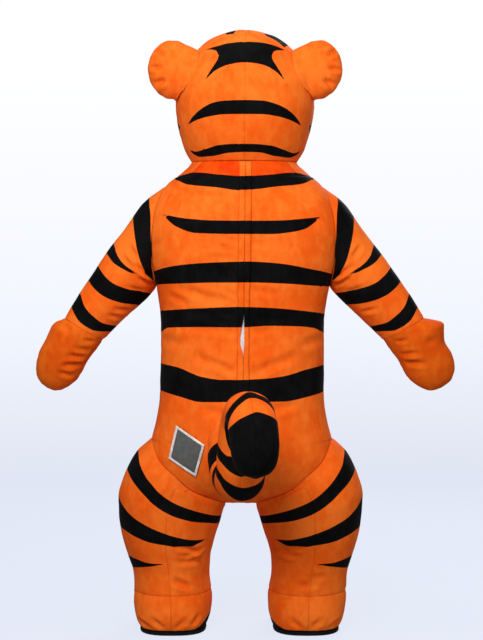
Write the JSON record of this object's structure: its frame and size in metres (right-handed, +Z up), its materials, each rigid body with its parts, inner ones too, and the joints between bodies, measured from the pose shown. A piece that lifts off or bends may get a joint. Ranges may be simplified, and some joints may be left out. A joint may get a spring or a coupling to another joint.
{
  "type": "tiger mascot costume",
  "caption": "Whole-body plush tiger mascot costume, air-filled and standing, with head, ears, mittens, feet, a curled tail and a back zip under a flap.",
  "frame": {"origin": "centre of the overall box, on the floor under the soles", "axes": "+Z up through the head; the face and toes look along +Y, the back and the tail along -Y; the costume's left side is at -X"},
  "size_m": [1.3984, 0.999, 1.988],
  "materials": {
    "orange_black_plush": "short-pile plush, orange with pieced black stripes, soft sheen",
    "white_plush": "short-pile plush",
    "white_tape": "plain woven tape",
    "grey_mesh": "fine open mesh",
    "silver_binding": "satin-like binding with a slight shine",
    "black_sole": "matte, textured sole",
    "black_nose": "padded satin",
    "black_eye": "smooth domed felt"
  },
  "bodies": {
    "root": {"back_left": "orange_black_plush", "back_right": "orange_black_plush", "ear_left_back": "orange_black_plush", "ear_left_front": "orange_black_plush", "ear_right_back": "orange_black_plush", "ear_right_front": "orange_black_plush", "eye_left": "black_eye", "eye_right": "black_eye", "foot_left_inner": "orange_black_plush", "foot_left_outer": "orange_black_plush", "foot_right_inner": "orange_black_plush", "foot_right_outer": "orange_black_plush", "front": "orange_black_plush", "head_back_left": "orange_black_plush", "head_back_right": "orange_black_plush", "head_front": "orange_black_plush", "leg_left_inner": "orange_black_plush", "leg_left_outer": "orange_black_plush", "leg_right_inner": "orange_black_plush", "leg_right_outer": "orange_black_plush", "mitten_left_back": "orange_black_plush", "mitten_left_palm": "orange_black_plush", "mitten_right_back": "orange_black_plush", "mitten_right_palm": "orange_black_plush", "muzzle": "white_plush", "neck_back_left": "orange_black_plush", "neck_back_right": "orange_black_plush", "neck_front": "orange_black_plush", "nose": "black_nose", "placket_left": "orange_black_plush", "placket_right": "orange_black_plush", "sleeve_left": "orange_black_plush", "sleeve_right": "orange_black_plush", "sole_left": "black_sole", "sole_right": "black_sole", "tail_left": "orange_black_plush", "tail_right": "orange_black_plush", "vent_binding": "silver_binding", "vent_mesh": "grey_mesh", "zip_tape": "white_tape"}
  },
  "joints": []
}
